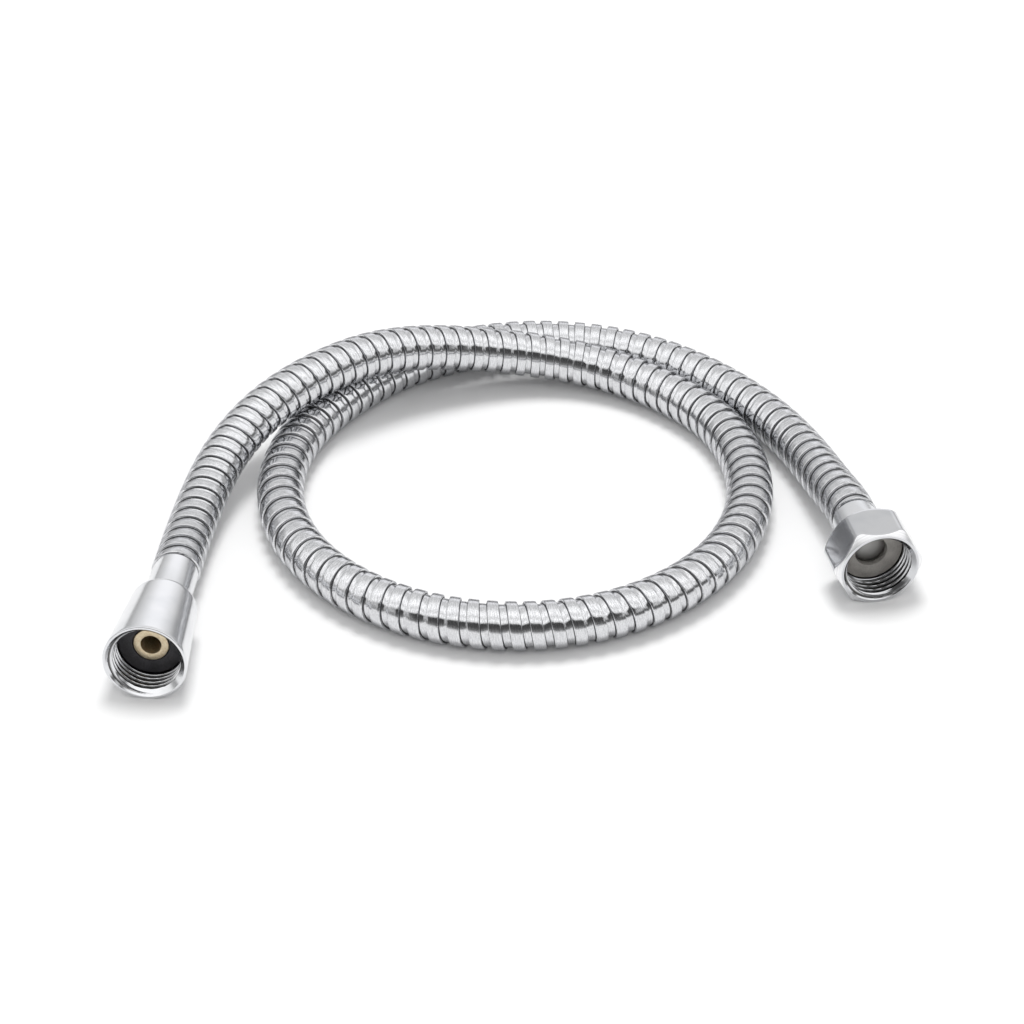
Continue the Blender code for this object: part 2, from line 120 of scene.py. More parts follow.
# Both fittings lie on their own axis: the middle of the nut's mouth, and the way into the hose
CONE_MOUTH = np.array([-0.1032, -0.0891, 0.011738])
CONE_AXIS = np.array([0.086900, 0.993271, -0.076560])
CONE_FERRULE_END = 0.0470
HEX_MOUTH = np.array([0.1021, -0.0456, 0.01175])
HEX_AXIS = np.array([-0.199368, 0.979925, 0.0])
HEX_FERRULE_END = 0.0257
GAP = 0.0003


def spline_samples(points, first_way, last_way, count):
    """Points on the cubic curve through the given ones, at even steps of the chord length.

    The slope m of each point keeps the curvature the same on both its sides:
    h1 m0 + 2 (h0 + h1) m1 + h0 m2 = 3 (h1 (p1 - p0) / h0 + h0 (p2 - p1) / h1).
    """
    chord = np.linalg.norm(np.diff(points, axis=0), axis=1)
    before, after = chord[:-1], chord[1:]
    size = len(points)
    inside = np.arange(1, size - 1)
    system = np.eye(size)
    system[inside, inside - 1] = after
    system[inside, inside] = 2 * (before + after)
    system[inside, inside + 1] = before
    rise = np.diff(points, axis=0) / chord[:, None]
    bend = 3 * (after[:, None] * rise[:-1] + before[:, None] * rise[1:])
    right = np.vstack([first_way, bend, last_way])
    slope = np.linalg.solve(system, right)
    knots = np.concatenate([[0.0], np.cumsum(chord)])
    at = np.linspace(0.0, knots[-1], count)
    i = np.clip(np.searchsorted(knots, at, side="right") - 1, 0, size - 2)
    width = chord[i][:, None]
    t = ((at - knots[i]) / chord[i])[:, None]
    near = (2 * t**3 - 3 * t**2 + 1) * points[i] + (t**3 - 2 * t**2 + t) * width * slope[i]
    far = (3 * t**2 - 2 * t**3) * points[i + 1] + (t**3 - t**2) * width * slope[i + 1]
    return near + far


def tube_points(line, distance, angle, radius):
    """Points round a line: its centre at each distance, and radius times (cos a side + sin a up).

    Up is the vertical with its part along the line taken out, and side is up crossed with the
    line's direction, so that side, up and the direction are right-handed.
    """
    way = np.gradient(line, axis=0)
    way /= np.linalg.norm(way, axis=1)[:, None]
    travelled = np.concatenate([[0.0], np.cumsum(np.linalg.norm(np.diff(line, axis=0), axis=1))])
    centre = np.stack([np.interp(distance, travelled, line[:, k]) for k in range(3)], axis=-1)
    along = np.stack([np.interp(distance, travelled, way[:, k]) for k in range(3)], axis=-1)
    up = np.array([0.0, 0.0, 1.0]) - along * along[..., 2:3]
    up /= np.linalg.norm(up, axis=-1, keepdims=True)
    side = np.cross(up, along)
    ring = side * np.cos(angle)[..., None] + up * np.sin(angle)[..., None]
    return centre + ring * radius[..., None]


def closed_piece(name, points, faces, material, uv=None, sharp=None):
    """A closed mesh object: equal points merged and faces turned outwards.

    It is shaded smooth, and edges over the sharp angle in degrees, if given, stay sharp.
    """
    mesh = bpy.data.meshes.new(name)
    mesh.from_pydata(points.reshape(-1, 3).tolist(), [], faces.tolist())
    if uv is not None:
        layer = mesh.uv_layers.new(name="surface")
        layer.data.foreach_set("uv", uv.reshape(-1).astype(np.float32))
    work = bmesh.new()
    work.from_mesh(mesh)
    bmesh.ops.remove_doubles(work, verts=work.verts, dist=MERGE_DISTANCE)
    bmesh.ops.recalc_face_normals(work, faces=work.faces)
    work.to_mesh(mesh)
    work.free()
    mesh.shade_smooth()
    if sharp is not None:
        mesh.set_sharp_from_angle(angle=math.radians(sharp))
    mesh.materials.append(material)
    piece = bpy.data.objects.new(name, mesh)
    bpy.context.scene.collection.objects.link(piece)
    return piece


class Value:
    """A node's output with arithmetic: an expression on values adds the Math nodes it needs."""

    def __init__(self, tree, socket):
        self.tree = tree
        self.socket = socket

    def maths(self, operation, *values):
        inputs = dict(enumerate(values))
        return add_node(self.tree, "ShaderNodeMath", {"operation": operation}, inputs)

    def apply(self, operation):
        """A function of this value alone, such as its sine or its absolute value."""
        return self.maths(operation, self)

    def __add__(self, other):
        return self.maths("ADD", self, other)

    def __radd__(self, other):
        return self.maths("ADD", other, self)

    def __sub__(self, other):
        return self.maths("SUBTRACT", self, other)

    def __rsub__(self, other):
        return self.maths("SUBTRACT", other, self)

    def __mul__(self, other):
        return self.maths("MULTIPLY", self, other)

    def __rmul__(self, other):
        return self.maths("MULTIPLY", other, self)

    def __truediv__(self, other):
        return self.maths("DIVIDE", self, other)

    def step(self, low, high, first=0.0, last=1.0):
        """Smoothly from first, below low, to last, above high."""
        smooth = {"interpolation_type": "SMOOTHSTEP", "clamp": True}
        return add_node(self.tree, "ShaderNodeMapRange", smooth, {
            "Value": self, "From Min": low, "From Max": high, "To Min": first, "To Max": last})

    def other(self, name):
        """Another output of the same node."""
        return Value(self.tree, self.socket.node.outputs[name])


def add_node(tree, kind, settings, inputs):
    """One node: its settings first, then its sockets, each a constant or a Value to link from."""
    node = tree.nodes.new(kind)
    for name, setting in settings.items():
        if name == "stops":
            ramp = node.color_ramp.elements
            while len(ramp) < len(setting):
                ramp.new(0.5)
            for element, (place, colour) in zip(ramp, setting):
                element.position = place
                element.color = (*colour, 1.0)
        else:
            setattr(node, name, setting)
    for name, value in inputs.items():
        if isinstance(value, Value):
            tree.links.new(value.socket, node.inputs[name])
        else:
            node.inputs[name].default_value = value
    shown = [socket for socket in node.outputs if socket.enabled]
    return Value(tree, shown[0]) if shown else node


def new_material(name):
    """An empty node material and its tree."""
    material = bpy.data.materials.new(name)
    material.use_nodes = True
    material.node_tree.nodes.clear()
    return material, material.node_tree


def finish_material(tree, sockets):
    """The Principled shader with its sockets, wired to the material's output."""
    shader = add_node(tree, "ShaderNodeBsdfPrincipled", {}, sockets)
    add_node(tree, "ShaderNodeOutputMaterial", {}, {"Surface": shader})


def colour_between(tree, share, first, last):
    """A colour from first to last by a share between 0 and 1; either may be a Value."""
    node = tree.nodes.new("ShaderNodeMix")
    node.data_type = "RGBA"
    tree.links.new(share.socket, node.inputs[0])
    for socket, colour in ((node.inputs[6], first), (node.inputs[7], last)):
        if isinstance(colour, Value):
            tree.links.new(colour.socket, socket)
        else:
            socket.default_value = (*colour, 1.0)
    return Value(tree, node.outputs[2])


def relief(tree, strength, depth, height):
    """A normal tilted as a relief of that depth would tilt it, weakened to the strength."""
    inputs = {"Strength": strength, "Distance": depth, "Height": height}
    return add_node(tree, "ShaderNodeBump", {}, inputs)


def casing_material():
    """Chrome strip: fine scratches along it, and painted shade in the seams where turns hook
    together.
    """
    material, tree = new_material("casing_chrome")
    place = add_node(tree, "ShaderNodeUVMap", {"uv_map": "surface"}, {})
    parts = add_node(tree, "ShaderNodeSeparateXYZ", {}, {"Vector": place})
    along, across = parts, parts.other("Y")

    def strip_noise(along_scale, across_scale, detail):
        scaled = {"X": along * along_scale, "Y": across * across_scale}
        spot = add_node(tree, "ShaderNodeCombineXYZ", {}, scaled)
        return add_node(tree, "ShaderNodeTexNoise", {"noise_dimensions": "2D"}, {
            "Vector": spot, "Scale": 1.0, "Detail": detail, "Roughness": 0.6})

    scratch = strip_noise(14.0, 48.0, 3.0)
    streak = strip_noise(20.0, 24.0, 2.0)
    speckle = strip_noise(150.0, 17.0, 2.0)
    cloud = strip_noise(2.3, 1.5, 2.0)
    from_middle = (across - 0.5).apply("ABSOLUTE")
    # Painted shade: the seams are darkened as the shadow of the narrow gap between turns, and made
    # rougher.
    seam_shade = from_middle.step(*SEAM_STARTS) * from_middle.step(*SEAM_ENDS, 1.0, 0.0)
    grain = (streak * 0.5 + speckle * 0.5).step(0.36, 0.66)
    plated = colour_between(tree, grain, CASING_DULL, CASING_BRIGHT)
    seam_shaded = colour_between(tree, seam_shade, plated, SEAM_SHADE_COLOUR)
    roughness = 0.05 + scratch * 0.10 + cloud * 0.06 + seam_shade * 0.3
    finish_material(tree, {
        "Base Color": seam_shaded, "Metallic": 1.0, "Roughness": roughness, "Specular Tint": CASING_EDGE,
        "Normal": relief(tree, 0.5, 0.000018, streak * 0.25 + speckle * 0.5)})
    return material


def casing_piece():
    """The wound strip as one helical grid, closed by a plain bore.

    A corner belongs to turn m, section point j and angle a. It lies m + share of j + a / 360
    degrees turns along the hose, so the last corner of each row joins the first corner of the
    same row one turn on. The turns are held between the hose's ends, and the radius is read from
    the section at the held place, which closes both ends flat. Distance is the sum of the pitches.
    """
    start = CONE_MOUTH + CONE_AXIS * (CONE_FERRULE_END + GAP + STRAIGHT_END)
    end = HEX_MOUTH + HEX_AXIS * (HEX_FERRULE_END + GAP + STRAIGHT_END)
    route = np.vstack([start, HOSE_ROUTE, end])
    curve = spline_samples(route, CONE_AXIS, -HEX_AXIS, LINE_POINTS)
    line = np.vstack([start - CONE_AXIS * STRAIGHT_END, curve, end + -HEX_AXIS * STRAIGHT_END])
    length = np.linalg.norm(np.diff(line, axis=0), axis=1).sum()

    share, depth = STRIP_SECTION.T
    across = len(share)
    travelled = np.linspace(0.0, length, PITCH_SAMPLES)
    pitch = np.interp(travelled / length, *STRIP_PITCH.T)
    more_turns = (travelled[1] - travelled[0]) * 2 / (pitch[1:] + pitch[:-1])
    wound = np.concatenate([[0.0], np.cumsum(more_turns)])
    turns = int(math.ceil(wound[-1])) + 3
    turn = np.repeat(np.arange(turns) - 1.0, across)[:, None]
    row_share = np.tile(share, turns)[:, None]
    angle = np.arange(CASING_STEPS) * (2 * np.pi / CASING_STEPS)
    place = np.clip(turn + row_share + angle / (2 * np.pi), 0.0, wound[-1])
    distance = np.interp(place, wound, travelled)
    phase = np.mod(place - angle / (2 * np.pi), 1.0)
    radius = HOSE_DIAMETER / 2 - np.interp(phase, np.append(share, 1.0), np.append(depth, depth[0]))
    outside = tube_points(line, distance, np.broadcast_to(angle, distance.shape), radius)

    rings = np.linspace(0.0, length, BORE_RINGS)[:, None] + 0 * angle
    bore_radius = np.full(rings.shape, CASING_BORE / 2)
    bore = tube_points(line, rings, np.broadcast_to(angle, rings.shape), bore_radius)
    points = np.vstack([outside.reshape(-1, 3), bore.reshape(-1, 3)])

    rows = len(distance) - across - 1
    row, column = np.meshgrid(np.arange(rows), np.arange(CASING_STEPS), indexing="ij")
    step_on = column + 1 == CASING_STEPS
    next_row = row + across * step_on
    next_column = (column + 1) % CASING_STEPS
    faces = np.stack([
        row * CASING_STEPS + column, next_row * CASING_STEPS + next_column,
        (next_row + 1) * CASING_STEPS + next_column, (row + 1) * CASING_STEPS + column,
    ], axis=-1)
    low = np.append(share, 1.0)[row % across]
    high = np.append(share, 1.0)[row % across + 1]
    here = row // across + column / CASING_STEPS
    there = here + 1 / CASING_STEPS
    strip_uv = np.stack([
        np.stack([here, low], -1), np.stack([there, low], -1),
        np.stack([there, high], -1), np.stack([here, high], -1),
    ], axis=-2)

    base = len(distance) * CASING_STEPS
    ring, spot = np.meshgrid(np.arange(BORE_RINGS - 1), np.arange(CASING_STEPS), indexing="ij")
    beside = (spot + 1) % CASING_STEPS
    bore_faces = base + np.stack([
        ring * CASING_STEPS + spot, (ring + 1) * CASING_STEPS + spot,
        (ring + 1) * CASING_STEPS + beside, ring * CASING_STEPS + beside,
    ], axis=-1)
    spot, beside = spot[0], beside[0]
    last = (len(distance) - 1) * CASING_STEPS
    last_ring = base + (BORE_RINGS - 1) * CASING_STEPS
    caps = np.stack([
        np.stack([spot, base + spot, base + beside, beside], -1),
        np.stack([last + spot, last + beside, last_ring + beside, last_ring + spot], -1),
    ])
    faces = np.vstack([faces.reshape(-1, 4), bore_faces.reshape(-1, 4), caps.reshape(-1, 4)])
    inner_uv = np.tile([0.5, 0.5], (4 * (len(faces) - row.size), 1))
    uv = np.vstack([strip_uv.reshape(-1, 2), inner_uv])
    return closed_piece("wound_casing", points, faces, casing_material(), uv), line


wound_casing, hose_line = casing_piece()
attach(wound_casing, "hose")
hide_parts("hose_casing")


# The inner tube runs from one insert to the other inside the casing and carries the water.
# It is extruded in black rubber; only a thin ring of it could be glimpsed past the ferrules.
def object_place(tree):
    """The place on the object, in metres."""
    return add_node(tree, "ShaderNodeTexCoord", {}, {}).other("Object")


def noise_at(tree, place, scale, detail):
    """Noise between 0 and 1, with that many spots to the metre."""
    inputs = {"Vector": place, "Scale": scale, "Detail": detail}
    return add_node(tree, "ShaderNodeTexNoise", {}, inputs)


def tube_rubber_material():
    """Matt rubber with the faint mottling of an extruded tube."""
    material, tree = new_material("tube_rubber")
    grain = noise_at(tree, object_place(tree), 900.0, 3.0)
    finish_material(tree, {
        "Base Color": colour_between(tree, grain, (0.05, 0.05, 0.05), (0.10, 0.10, 0.10)),
        "Roughness": grain * 0.2 + 0.6, "Normal": relief(tree, 0.2, 0.00005, grain)})
    return material


inner_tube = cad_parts["inner_tube"]
inner_tube.data.materials.clear()
inner_tube.data.materials.append(tube_rubber_material())


# The conical nut is turned from brass bar: a tapered skirt that a hand can grip, a rounded rear
# shoulder, and a G 1/2 thread inside. It is chrome plated outside and in.
CONE_TURN_STEPS = 144
THREAD_CREST = 0.018630 / 2
THREAD_ROOT = 0.020960 / 2
THREAD_PITCH = 0.001814
THREAD_ROWS = 22
CONE_MOUTH_OPENING = 0.01100
THREAD_FADE = 0.0009
POCKET_RADIUS = 0.0096
NUT_REAR_BORE = 0.00695
# Painted shade in the roots of the thread inside the nuts
THREAD_ROOT_SHADE = (0.08, 0.078, 0.075)
CONE_MOUTH_RADIUS = 0.01175
CONE_SHOULDER_RADIUS = 0.0096
CONE_SHOULDER_AT = 0.0280
CONE_RIM_ROUNDING = 0.0003
CONE_REAR_LAND = 0.00015
CONE_SKIRT_ROWS = 24
CONE_WASHER_AT = 0.0093
CONE_SHOULDER_INSIDE = 0.0139


def on_axis(mouth, axis, points):
    """Points (side, up, distance) of a fitting put where it lies; side is level, up across it."""
    side = np.array([axis[1], -axis[0], 0.0])
    side /= np.linalg.norm(side)
    up = np.cross(axis, side)
    return mouth + points @ np.array([side, up, axis])


def rounded(profile, corner, steps=4):
    """A profile of (radius, distance) points with each inner corner cut by a small arc.

    The corner point is replaced by points on the parabola through it: (1-t)^2 a + 2t(1-t) c +
    t^2 b, where a and b lie on the two sides at the corner size from c.
    """
    before, here, after = np.roll(profile, 1, axis=0), profile, np.roll(profile, -1, axis=0)
    size = np.broadcast_to(np.asarray(corner, float), len(profile))[:, None]
    reach = np.minimum(size, 0.45 * np.linalg.norm(before - here, axis=1)[:, None])
    first = here + (before - here) * reach / np.linalg.norm(before - here, axis=1)[:, None]
    reach = np.minimum(size, 0.45 * np.linalg.norm(after - here, axis=1)[:, None])
    last = here + (after - here) * reach / np.linalg.norm(after - here, axis=1)[:, None]
    t = np.linspace(0.0, 1.0, steps + 1)[None, :, None]
    curve = (1 - t)**2 * first[:, None] + 2 * t * (1 - t) * here[:, None] + t**2 * last[:, None]
    return curve.reshape(-1, 2)


def arc_profile(centre, radius, first, last, steps):
    """Points (radius, distance) of an arc about a centre, from one angle to another in degrees."""
    angle = np.radians(np.linspace(first, last, steps + 1))
    return np.array(centre) + radius * np.stack([np.cos(angle), np.sin(angle)], axis=-1)


def grid_faces(rows, columns):
    """Quads of a grid that closes on itself both ways, row after row."""
    row, column = np.meshgrid(np.arange(rows), np.arange(columns), indexing="ij")
    below, beside = (row + 1) % rows, (column + 1) % columns
    return np.stack([row * columns + column, row * columns + beside,
                     below * columns + beside, below * columns + column], axis=-1).reshape(-1, 4)


def turned_piece(name, mouth, axis, radius, distance, angle, material, sharp=30):
    """A closed ring: radius and distance along the axis of every row at every angle."""
    distance = np.broadcast_to(distance, radius.shape)
    ring = np.stack([radius * np.cos(angle), radius * np.sin(angle), distance], -1)
    faces = grid_faces(*radius.shape)
    return closed_piece(name, on_axis(mouth, axis, ring), faces, material, None, sharp)


def plain_turned(name, mouth, axis, profile, steps, material, sharp=30):
    """A profile of (radius, distance) points turned round the axis."""
    angle = np.arange(steps) * (2 * np.pi / steps) + 0 * profile[:, :1]
    radius = profile[:, :1] + 0 * angle
    return turned_piece(name, mouth, axis, radius, profile[:, 1:], angle, material, sharp)


def thread_rows(angle, thread_end, opening):
    """Radius and distance of the threaded bore, from where it ends back to the mouth.

    The thread's wave is a rounded V between crest and root that advances one pitch a turn,
    to the right. It fades out before the pocket, and the 45 degree countersink of the mouth,
    opening - distance, cuts into it: the bore is whichever of the two is wider.
    """
    rows = int(THREAD_ROWS * thread_end / THREAD_PITCH)
    distance = np.linspace(thread_end, 0.0, rows)[:, None]
    turn = np.mod(distance / THREAD_PITCH - angle / (2 * np.pi), 1.0)
    slope = np.clip((np.abs(turn - 0.5) * 2 - 0.5) * 1.25 + 0.5, 0.0, 1.0)
    wave = 0.5 - 0.5 * np.cos(np.pi * slope)
    left = np.clip((thread_end - distance) / THREAD_FADE, 0.0, 1.0)
    radius = THREAD_CREST + (THREAD_ROOT - THREAD_CREST) * wave * left
    return np.maximum(radius, opening - distance), distance


def nut_chrome_material(name, roughness, grain_depth, mouth, axis,
                        bright=0.76, thread=None, chamfer=None):
    """Plated metal with a faint film in patches and a fine grain; bright is how much it mirrors.

    Thread is (opening, thread's end): between them the roots hold painted shade, and are duller.
    Chamfer is (face radius, slope): it is turned, so it is streaky, and rougher and paler than
    the flats. Both are told by the distance from the axis and along it.
    """
    material, tree = new_material(name)
    place = object_place(tree)

    def vector_maths(operation, *values):
        inputs = dict(enumerate(values))
        return add_node(tree, "ShaderNodeVectorMath", {"operation": operation}, inputs)

    from_mouth = vector_maths("SUBTRACT", place, tuple(mouth))
    along = vector_maths("DOT_PRODUCT", from_mouth, tuple(axis))
    radius = vector_maths("LENGTH", vector_maths("CROSS_PRODUCT", from_mouth, tuple(axis)))
    film = noise_at(tree, place, 120.0, 2.0)
    grain = noise_at(tree, place, 3000.0, 1.0)
    dull = bright - 0.06
    shade = colour_between(tree, film.step(0.35, 0.75), (bright, bright + 0.005, bright + 0.02),
                           (dull, dull + 0.01, dull + 0.03))
    rough = film * 0.04 + grain * 0.04 + roughness
    if thread is not None:
        opening, thread_end = thread
        # Painted shade: the roots of the thread are darkened and roughened.
        depth = THREAD_ROOT - THREAD_CREST
        root_shade = (radius.step(THREAD_CREST + depth * 0.1, THREAD_CREST + depth * 0.6)
                 * (radius + along).step(opening + 0.0001, opening + 0.0004)
                 * along.step(thread_end, thread_end + 0.0003, 1.0, 0.0)
                 * radius.step(THREAD_ROOT + 0.0001, THREAD_ROOT + 0.0002, 1.0, 0.0))
        shade = colour_between(tree, root_shade * 0.92, shade, THREAD_ROOT_SHADE)
        rough = rough + root_shade * 0.2
    if chamfer is not None:
        face_radius, slope = chamfer
        behind = along - (radius - face_radius) * slope
        on_face = radius.step(face_radius - 0.0001, face_radius)
        turned = behind.step(0.00003, 0.0001, 1.0, 0.0) * on_face
        ridges = add_node(tree, "ShaderNodeTexNoise", {"noise_dimensions": "1D"},
                          {"W": radius * 4200.0, "Scale": 1.0, "Detail": 2.0})
        tooled = colour_between(tree, ridges.step(0.35, 0.65),
                                (0.80, 0.805, 0.82), (0.95, 0.95, 0.955))
        shade = colour_between(tree, turned, shade, tooled)
        rough = rough + turned * 0.22
    finish_material(tree, {
        "Base Color": shade, "Metallic": 1.0, "Roughness": rough,
        "Normal": relief(tree, grain_depth, 0.00001, grain)})
    return material


def cone_nut_piece():
    """Bore, thread, rim, tapered skirt and rounded rear, as one closed grid of rows and angles."""
    angle = np.arange(CONE_TURN_STEPS) * (2 * np.pi / CONE_TURN_STEPS)
    taper = math.atan2(CONE_MOUTH_RADIUS - CONE_SHOULDER_RADIUS, CONE_SHOULDER_AT)
    rounding = (CONE_SHOULDER_RADIUS - NUT_REAR_BORE - CONE_REAR_LAND) / math.cos(taper)
    rim_centre = (CONE_MOUTH_RADIUS - CONE_RIM_ROUNDING, CONE_RIM_ROUNDING)
    rim = arc_profile(rim_centre, CONE_RIM_ROUNDING, -90, 0, 5)
    rear_centre = (CONE_SHOULDER_RADIUS - rounding * math.cos(taper),
                   CONE_SHOULDER_AT - rounding * math.sin(taper))
    rear = arc_profile(rear_centre, rounding, math.degrees(taper), 90, 12)
    thread_end = CONE_WASHER_AT - GAP
    inside = np.array([
        (NUT_REAR_BORE, rear[-1][1]), (NUT_REAR_BORE, CONE_SHOULDER_INSIDE),
        (POCKET_RADIUS, CONE_SHOULDER_INSIDE), (POCKET_RADIUS, thread_end),
    ])
    thread_end -= POCKET_RADIUS - THREAD_CREST
    thread, distance = thread_rows(angle, thread_end, CONE_MOUTH_OPENING)
    skirt = np.linspace(rim[-1], rear[0], CONE_SKIRT_ROWS)[1:-1]
    outside = np.vstack([rim, skirt, rear])
    radius = np.vstack([inside[:, :1] + 0 * angle, thread, outside[:, :1] + 0 * angle])
    distance = np.vstack([inside[:, 1:], distance, outside[:, 1:]])
    chrome = nut_chrome_material("nut_chrome", 0.12, 0.10, CONE_MOUTH, CONE_AXIS,
                                 thread=(CONE_MOUTH_OPENING, thread_end))
    return turned_piece("conical_nut", CONE_MOUTH, CONE_AXIS, radius, distance,
                        angle + 0 * radius, chrome)


conical_nut = cone_nut_piece()
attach(conical_nut, "cone_nut")
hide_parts("cone_nut")


# Each ferrule is a thin sleeve crimped over the inner tube and the insert's tail, just behind
# its nut, and the casing ends at it. It is satin chrome with rounded edges.
FERRULE_RADIUS = 0.00665
FERRULE_BORE = 0.0056
FERRULE_EDGE = 0.0004
RING_STEPS = 96
CONE_FERRULE_START = 0.0139
HEX_FERRULE_START = 0.0128


def ring_piece(name, mouth, axis, bore, radius, front, rear, edge, material):
    """A ring turned from its outline: bore and radius from front to rear, with rounded edges."""
    outline = np.array([(bore, front), (radius, front), (radius, rear), (bore, rear)])
    return plain_turned(name, mouth, axis, rounded(outline, edge), RING_STEPS, material)


cone_sleeve = ring_piece(
    "cone_sleeve", CONE_MOUTH, CONE_AXIS, FERRULE_BORE, FERRULE_RADIUS,
    CONE_FERRULE_START, CONE_FERRULE_END, FERRULE_EDGE,
    nut_chrome_material("cone_sleeve_chrome", 0.14, 0.10, CONE_MOUTH, CONE_AXIS))
hex_sleeve = ring_piece(
    "hex_sleeve", HEX_MOUTH, HEX_AXIS, FERRULE_BORE, FERRULE_RADIUS,
    HEX_FERRULE_START, HEX_FERRULE_END, FERRULE_EDGE,
    nut_chrome_material("hex_sleeve_chrome", 0.18, 0.10, HEX_MOUTH, HEX_AXIS))
for sleeve, node in ((cone_sleeve, "cone_ferrule"), (hex_sleeve, "hex_ferrule")):
    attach(sleeve, "hose")
    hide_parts(node)


# The inserts are barbed brass nipples. The conical one's nose comes through its washer and shows
# as a pale ring with a countersunk hole; the hexagonal one's flange holds the strainer.
BORE_RADIUS = 0.0026
INSERT_FLANGE_RADIUS = 0.0084
HUB_RADIUS = 0.0053
HUB_LENGTH = 0.0038
BARB_RADIUS = 0.0038
BARB_HEIGHT = 0.0005
BARB_PITCH = 0.0030
BARB_COUNT = 4
CONE_NOSE_RADIUS = 0.0049
CONE_NOSE_BORE = 0.0029
CONE_FLANGE_AT = 0.0116
CONE_FLANGE_THICKNESS = 0.0020
HEX_FLANGE_AT = 0.0109
HEX_FLANGE_THICKNESS = 0.0014
STRAINER_SEAT_RADIUS = 0.0049
STRAINER_SEAT_DEPTH = 0.0010
CONE_NOSE_SINK_END = 0.0113
INSERT_EDGE = 0.0001
INSERT_STEPS = 72


def brass_material(name, clean, tarnished):
    """Turned brass with a fine grain and a slightly darker tarnish in patches."""
    material, tree = new_material(name)
    place = object_place(tree)
    patch = noise_at(tree, place, 1300.0, 3.0)
    grain = noise_at(tree, place, 3200.0, 2.0)
    finish_material(tree, {
        "Base Color": colour_between(tree, patch.step(0.35, 0.7), clean, tarnished),
        "Metallic": 0.85, "Roughness": patch * 0.1 + 0.34,
        "Normal": relief(tree, 0.2, 0.00002, grain)})
    return material


def insert_piece(name, mouth, axis, front, flange_at, flange_thickness, material):
    """Front outline, flange, hub and saw-tooth tail, turned as one closed profile."""
    hub_end = flange_at + flange_thickness + HUB_LENGTH
    tooth = np.arange(BARB_COUNT)[:, None] * BARB_PITCH + hub_end
    crest = np.hstack([BARB_RADIUS + 0 * tooth, tooth])
    root = np.hstack([BARB_RADIUS - BARB_HEIGHT + 0 * tooth, tooth + BARB_PITCH])
    tail = np.stack([crest, root], axis=1).reshape(-1, 2)
    outline = np.vstack([front, [
        (INSERT_FLANGE_RADIUS, flange_at), (INSERT_FLANGE_RADIUS, flange_at + flange_thickness),
        (HUB_RADIUS, flange_at + flange_thickness), (HUB_RADIUS, hub_end),
    ], tail, [(BORE_RADIUS, tail[-1][1])]])
    profile = rounded(outline, INSERT_EDGE, 2)
    return plain_turned(name, mouth, axis, profile, INSERT_STEPS, material)


brass = brass_material("insert_brass", (0.84, 0.73, 0.53), (0.72, 0.58, 0.38))
plated_brass = brass_material("plated_brass", (0.60, 0.58, 0.55), (0.46, 0.44, 0.41))
cone_nipple = insert_piece("cone_nipple", CONE_MOUTH, CONE_AXIS, [
    (BORE_RADIUS, CONE_NOSE_SINK_END), (CONE_NOSE_BORE, CONE_WASHER_AT),
    (CONE_NOSE_RADIUS, CONE_WASHER_AT), (CONE_NOSE_RADIUS, CONE_FLANGE_AT),
], CONE_FLANGE_AT, CONE_FLANGE_THICKNESS, brass)
hex_nipple = insert_piece("hex_nipple", HEX_MOUTH, HEX_AXIS, [
    (BORE_RADIUS, HEX_FLANGE_AT + STRAINER_SEAT_DEPTH),
    (STRAINER_SEAT_RADIUS, HEX_FLANGE_AT + STRAINER_SEAT_DEPTH),
    (STRAINER_SEAT_RADIUS, HEX_FLANGE_AT),
], HEX_FLANGE_AT, HEX_FLANGE_THICKNESS, plated_brass)
for nipple, node in ((cone_nipple, "cone_insert"), (hex_nipple, "hex_insert")):
    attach(nipple, "hose")
    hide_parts(node)


# The washers are flat rubber rings that seal each nut against what it is screwed to.
# The conical end's is black and lies round the brass nose; the hexagonal end's is grey.
WASHER_RADIUS = 0.0092
CONE_WASHER_BORE = 0.0052
CONE_WASHER_THICKNESS = 0.0020
HEX_WASHER_AT = 0.0088
HEX_WASHER_BORE = 0.00475
HEX_WASHER_THICKNESS = 0.0018
WASHER_EDGE = 0.00025


def washer_material(name, dark, pale):
    """Moulded rubber with a fine grain."""
    material, tree = new_material(name)
    place = object_place(tree)
    grain = noise_at(tree, place, 2600.0, 3.0)
    bloom = noise_at(tree, place, 300.0, 2.0)
    finish_material(tree, {
        "Base Color": colour_between(tree, (grain * 0.5 + bloom * 0.5).step(0.3, 0.7), dark, pale),
        "Roughness": bloom * 0.2 + 0.5, "Normal": relief(tree, 0.3, 0.00003, grain)})
    return material


black_washer = ring_piece(
    "black_washer", CONE_MOUTH, CONE_AXIS, CONE_WASHER_BORE, WASHER_RADIUS,
    CONE_WASHER_AT, CONE_WASHER_AT + CONE_WASHER_THICKNESS, WASHER_EDGE,
    washer_material("washer_black", (0.040, 0.039, 0.043), (0.085, 0.083, 0.092)))
grey_washer = ring_piece(
    "grey_washer", HEX_MOUTH, HEX_AXIS, HEX_WASHER_BORE, WASHER_RADIUS,
    HEX_WASHER_AT, HEX_WASHER_AT + HEX_WASHER_THICKNESS, WASHER_EDGE,
    washer_material("washer_grey", (0.42, 0.40, 0.375), (0.60, 0.575, 0.54)))
for ring, node, slot in ((black_washer, "cone_washer", "washer_black"),
                         (grey_washer, "hex_washer", "washer_grey")):
    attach(ring, "hose")
    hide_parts(node)


# The hexagonal nut is cut from hexagonal bar and plated. Both ends are chamfered in the lathe,
# which leaves the curved edges where each flat runs out, and it has the same thread inside.
HEX_APOTHEM = 0.01175
HEX_LENGTH = 0.0140
HEX_FACE_RADIUS = 0.0114
HEX_MOUTH_OPENING = 0.01075
HEX_CHAMFER_ANGLE = math.radians(50)
HEX_CORNER_RADIUS = 0.0030
HEX_SHOULDER_INSIDE = 0.0126
HEX_CREASE_ROUNDING = 0.00012

